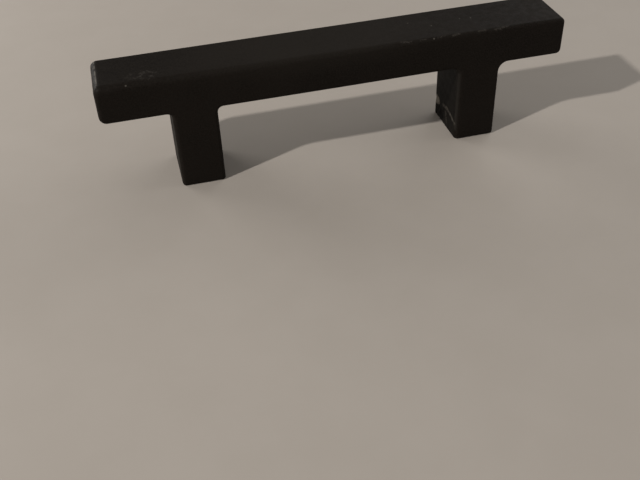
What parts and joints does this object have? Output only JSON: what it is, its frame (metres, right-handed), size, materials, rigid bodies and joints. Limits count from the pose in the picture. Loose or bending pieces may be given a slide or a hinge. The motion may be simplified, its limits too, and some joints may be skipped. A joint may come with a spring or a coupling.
{
  "type": "bridge pull handle",
  "caption": "Rectangular bar pull on two square-cut posts, fixed from behind with machine screws in blind threaded feet.",
  "frame": {"origin": "on the plane of the feet, midway between the two screw holes", "axes": "+X along the bar, +Y from front to back, +Z from the feet up to the bar"},
  "size_m": [0.155, 0.0206, 0.0403],
  "materials": {
    "black_coating": "satin"
  },
  "bodies": {
    "root": {"pull_handle": "black_coating"}
  },
  "joints": []
}
